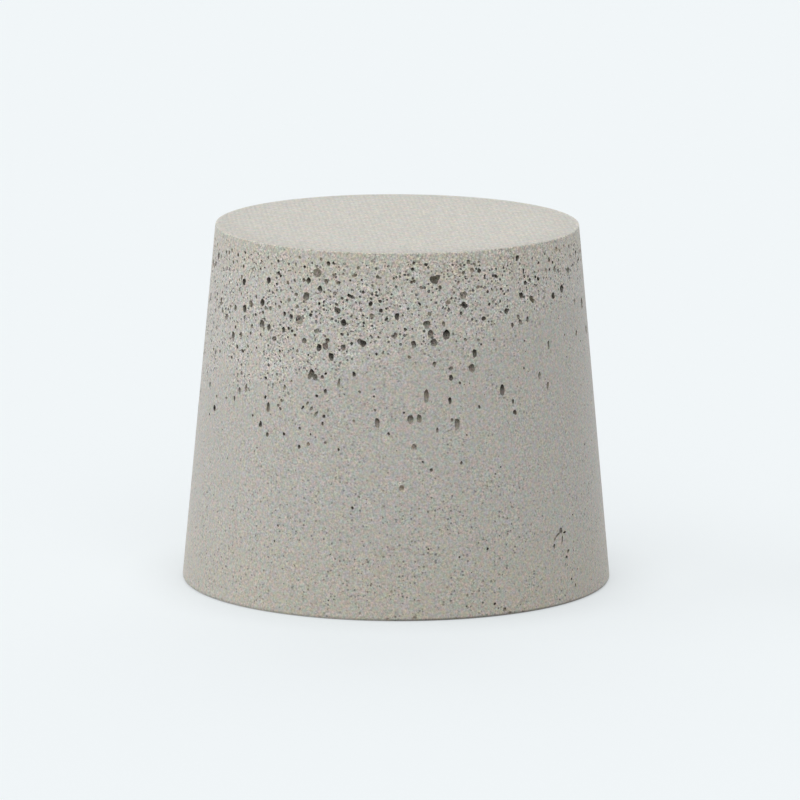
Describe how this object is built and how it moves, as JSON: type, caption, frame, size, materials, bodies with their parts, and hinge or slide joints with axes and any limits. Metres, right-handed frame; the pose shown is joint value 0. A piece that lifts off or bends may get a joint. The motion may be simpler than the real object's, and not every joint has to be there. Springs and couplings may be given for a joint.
{
  "type": "rubber stopper",
  "caption": "Solid tapered rubber stopper with flat ends and an open-pored side, pressed into a round neck to close it.",
  "frame": {"origin": "centre of the large end face, on which the stopper stands", "axes": "+Z along the taper's axis, from the large end to the small end; -Y is the front"},
  "size_m": [0.055, 0.055, 0.046],
  "materials": {
    "porous_rubber": "matte"
  },
  "bodies": {
    "root": {"stopper": "porous_rubber"}
  },
  "joints": []
}
